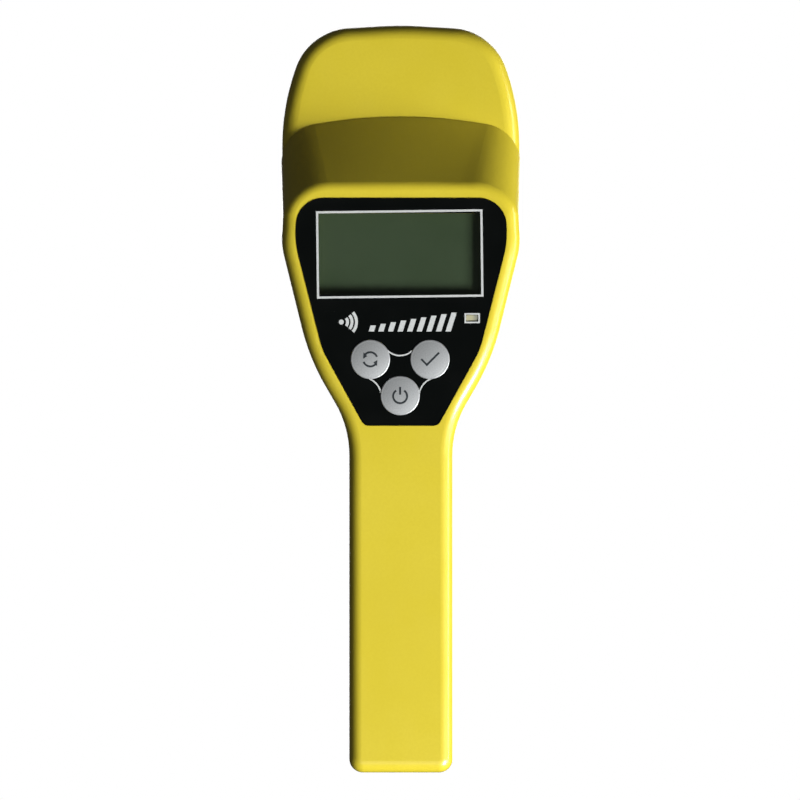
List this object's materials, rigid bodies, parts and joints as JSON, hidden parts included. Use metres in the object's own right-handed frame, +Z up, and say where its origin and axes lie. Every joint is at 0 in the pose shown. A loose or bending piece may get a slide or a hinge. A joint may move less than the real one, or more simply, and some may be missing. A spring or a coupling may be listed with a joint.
{
  "type": "speed radar gun",
  "caption": "Hand-held speed radar wand with a display panel, round keys, a status lamp, a radar head facing away from the user and a sliding battery door in the handle.",
  "frame": {"origin": "centre of the handle's flat lower end, on the axis of its threaded socket", "axes": "+Z up the handle to the head, +X to the right of someone reading the display, +Y away from that person, the way the radar looks"},
  "size_m": [0.0864, 0.0575, 0.2695],
  "materials": {
    "shell_yellow": "glossy moulded ABS, fine orange peel",
    "panel_black": "printed polycarbonate sheet, satin-gloss black",
    "clear_plastic": "clear polycarbonate",
    "display_glass": "grey-green reflective liquid-crystal glass",
    "key_silver": "silver-painted plastic, satin",
    "radome_black": "fine-textured dark plastic",
    "foam": "closed-cell foam",
    "tray_black": "moulded plastic",
    "cell_wrap": "plain printed cell wrap with bare metal ends",
    "contact_metal": "nickel-plated spring metal",
    "circuit_board": "green solder-resist laminate",
    "chip_black": "moulded chip cases",
    "socket_white": "nylon",
    "lamp_body": "lamp case with yellow resin",
    "screw_steel": "zinc-plated steel",
    "cast_metal": "die-cast, as cast",
    "module_case": "pressed metal case",
    "lead_red": "soft insulation",
    "lead_black": "soft insulation",
    "insert_brass": "turned brass"
  },
  "bodies": {
    "gun_body": {"front_shell": "shell_yellow", "rear_shell": "shell_yellow", "battery_tray": "tray_black", "aa_cells": "cell_wrap", "battery_contacts": "contact_metal", "battery_lead_red": "lead_red", "battery_lead_black": "lead_black", "graphic_overlay": "panel_black", "display_window": "clear_plastic", "led_window": "clear_plastic", "lcd_gasket": "foam", "lcd_front_glass": "display_glass", "lcd_rear_glass": "display_glass", "lcd_pins": "contact_metal", "tact_switches": "chip_black", "indicator_led": "lamp_body", "main_board": "circuit_board", "board_chips": "chip_black", "board_connectors": "socket_white", "board_screws": "screw_steel", "buzzer": "chip_black", "microwave_module": "module_case", "module_screws": "screw_steel", "antenna_horn": "cast_metal", "horn_screws": "screw_steel", "radome": "radome_black", "radome_gasket": "foam", "radar_lead": "lead_black", "case_screws": "screw_steel", "tripod_insert": "insert_brass"},
    "mode_button": {"mode_key": "key_silver", "mode_plunger": "chip_black"},
    "set_button": {"set_key": "key_silver", "set_plunger": "chip_black"},
    "on_button": {"on_key": "key_silver", "on_plunger": "chip_black"},
    "battery_cover": {"battery_door": "shell_yellow"}
  },
  "joints": [
    {"name": "mode_press", "type": "slide", "parent": "gun_body", "child": "mode_button", "axis": [0, 1, 0], "range_m": [0, 0.0005], "stiffness_N_per_m": 1500, "springref_m": -0.0006},
    {"name": "set_press", "type": "slide", "parent": "gun_body", "child": "set_button", "axis": [0, 1, 0], "range_m": [0, 0.0005], "stiffness_N_per_m": 1500, "springref_m": -0.0006},
    {"name": "on_press", "type": "slide", "parent": "gun_body", "child": "on_button", "axis": [0, 1, 0], "range_m": [0, 0.0005], "stiffness_N_per_m": 1500, "springref_m": -0.0006},
    {"name": "battery_door_slide", "type": "slide", "parent": "gun_body", "child": "battery_cover", "axis": [0, 0, -1], "range_m": [0, 0.008]}
  ]
}
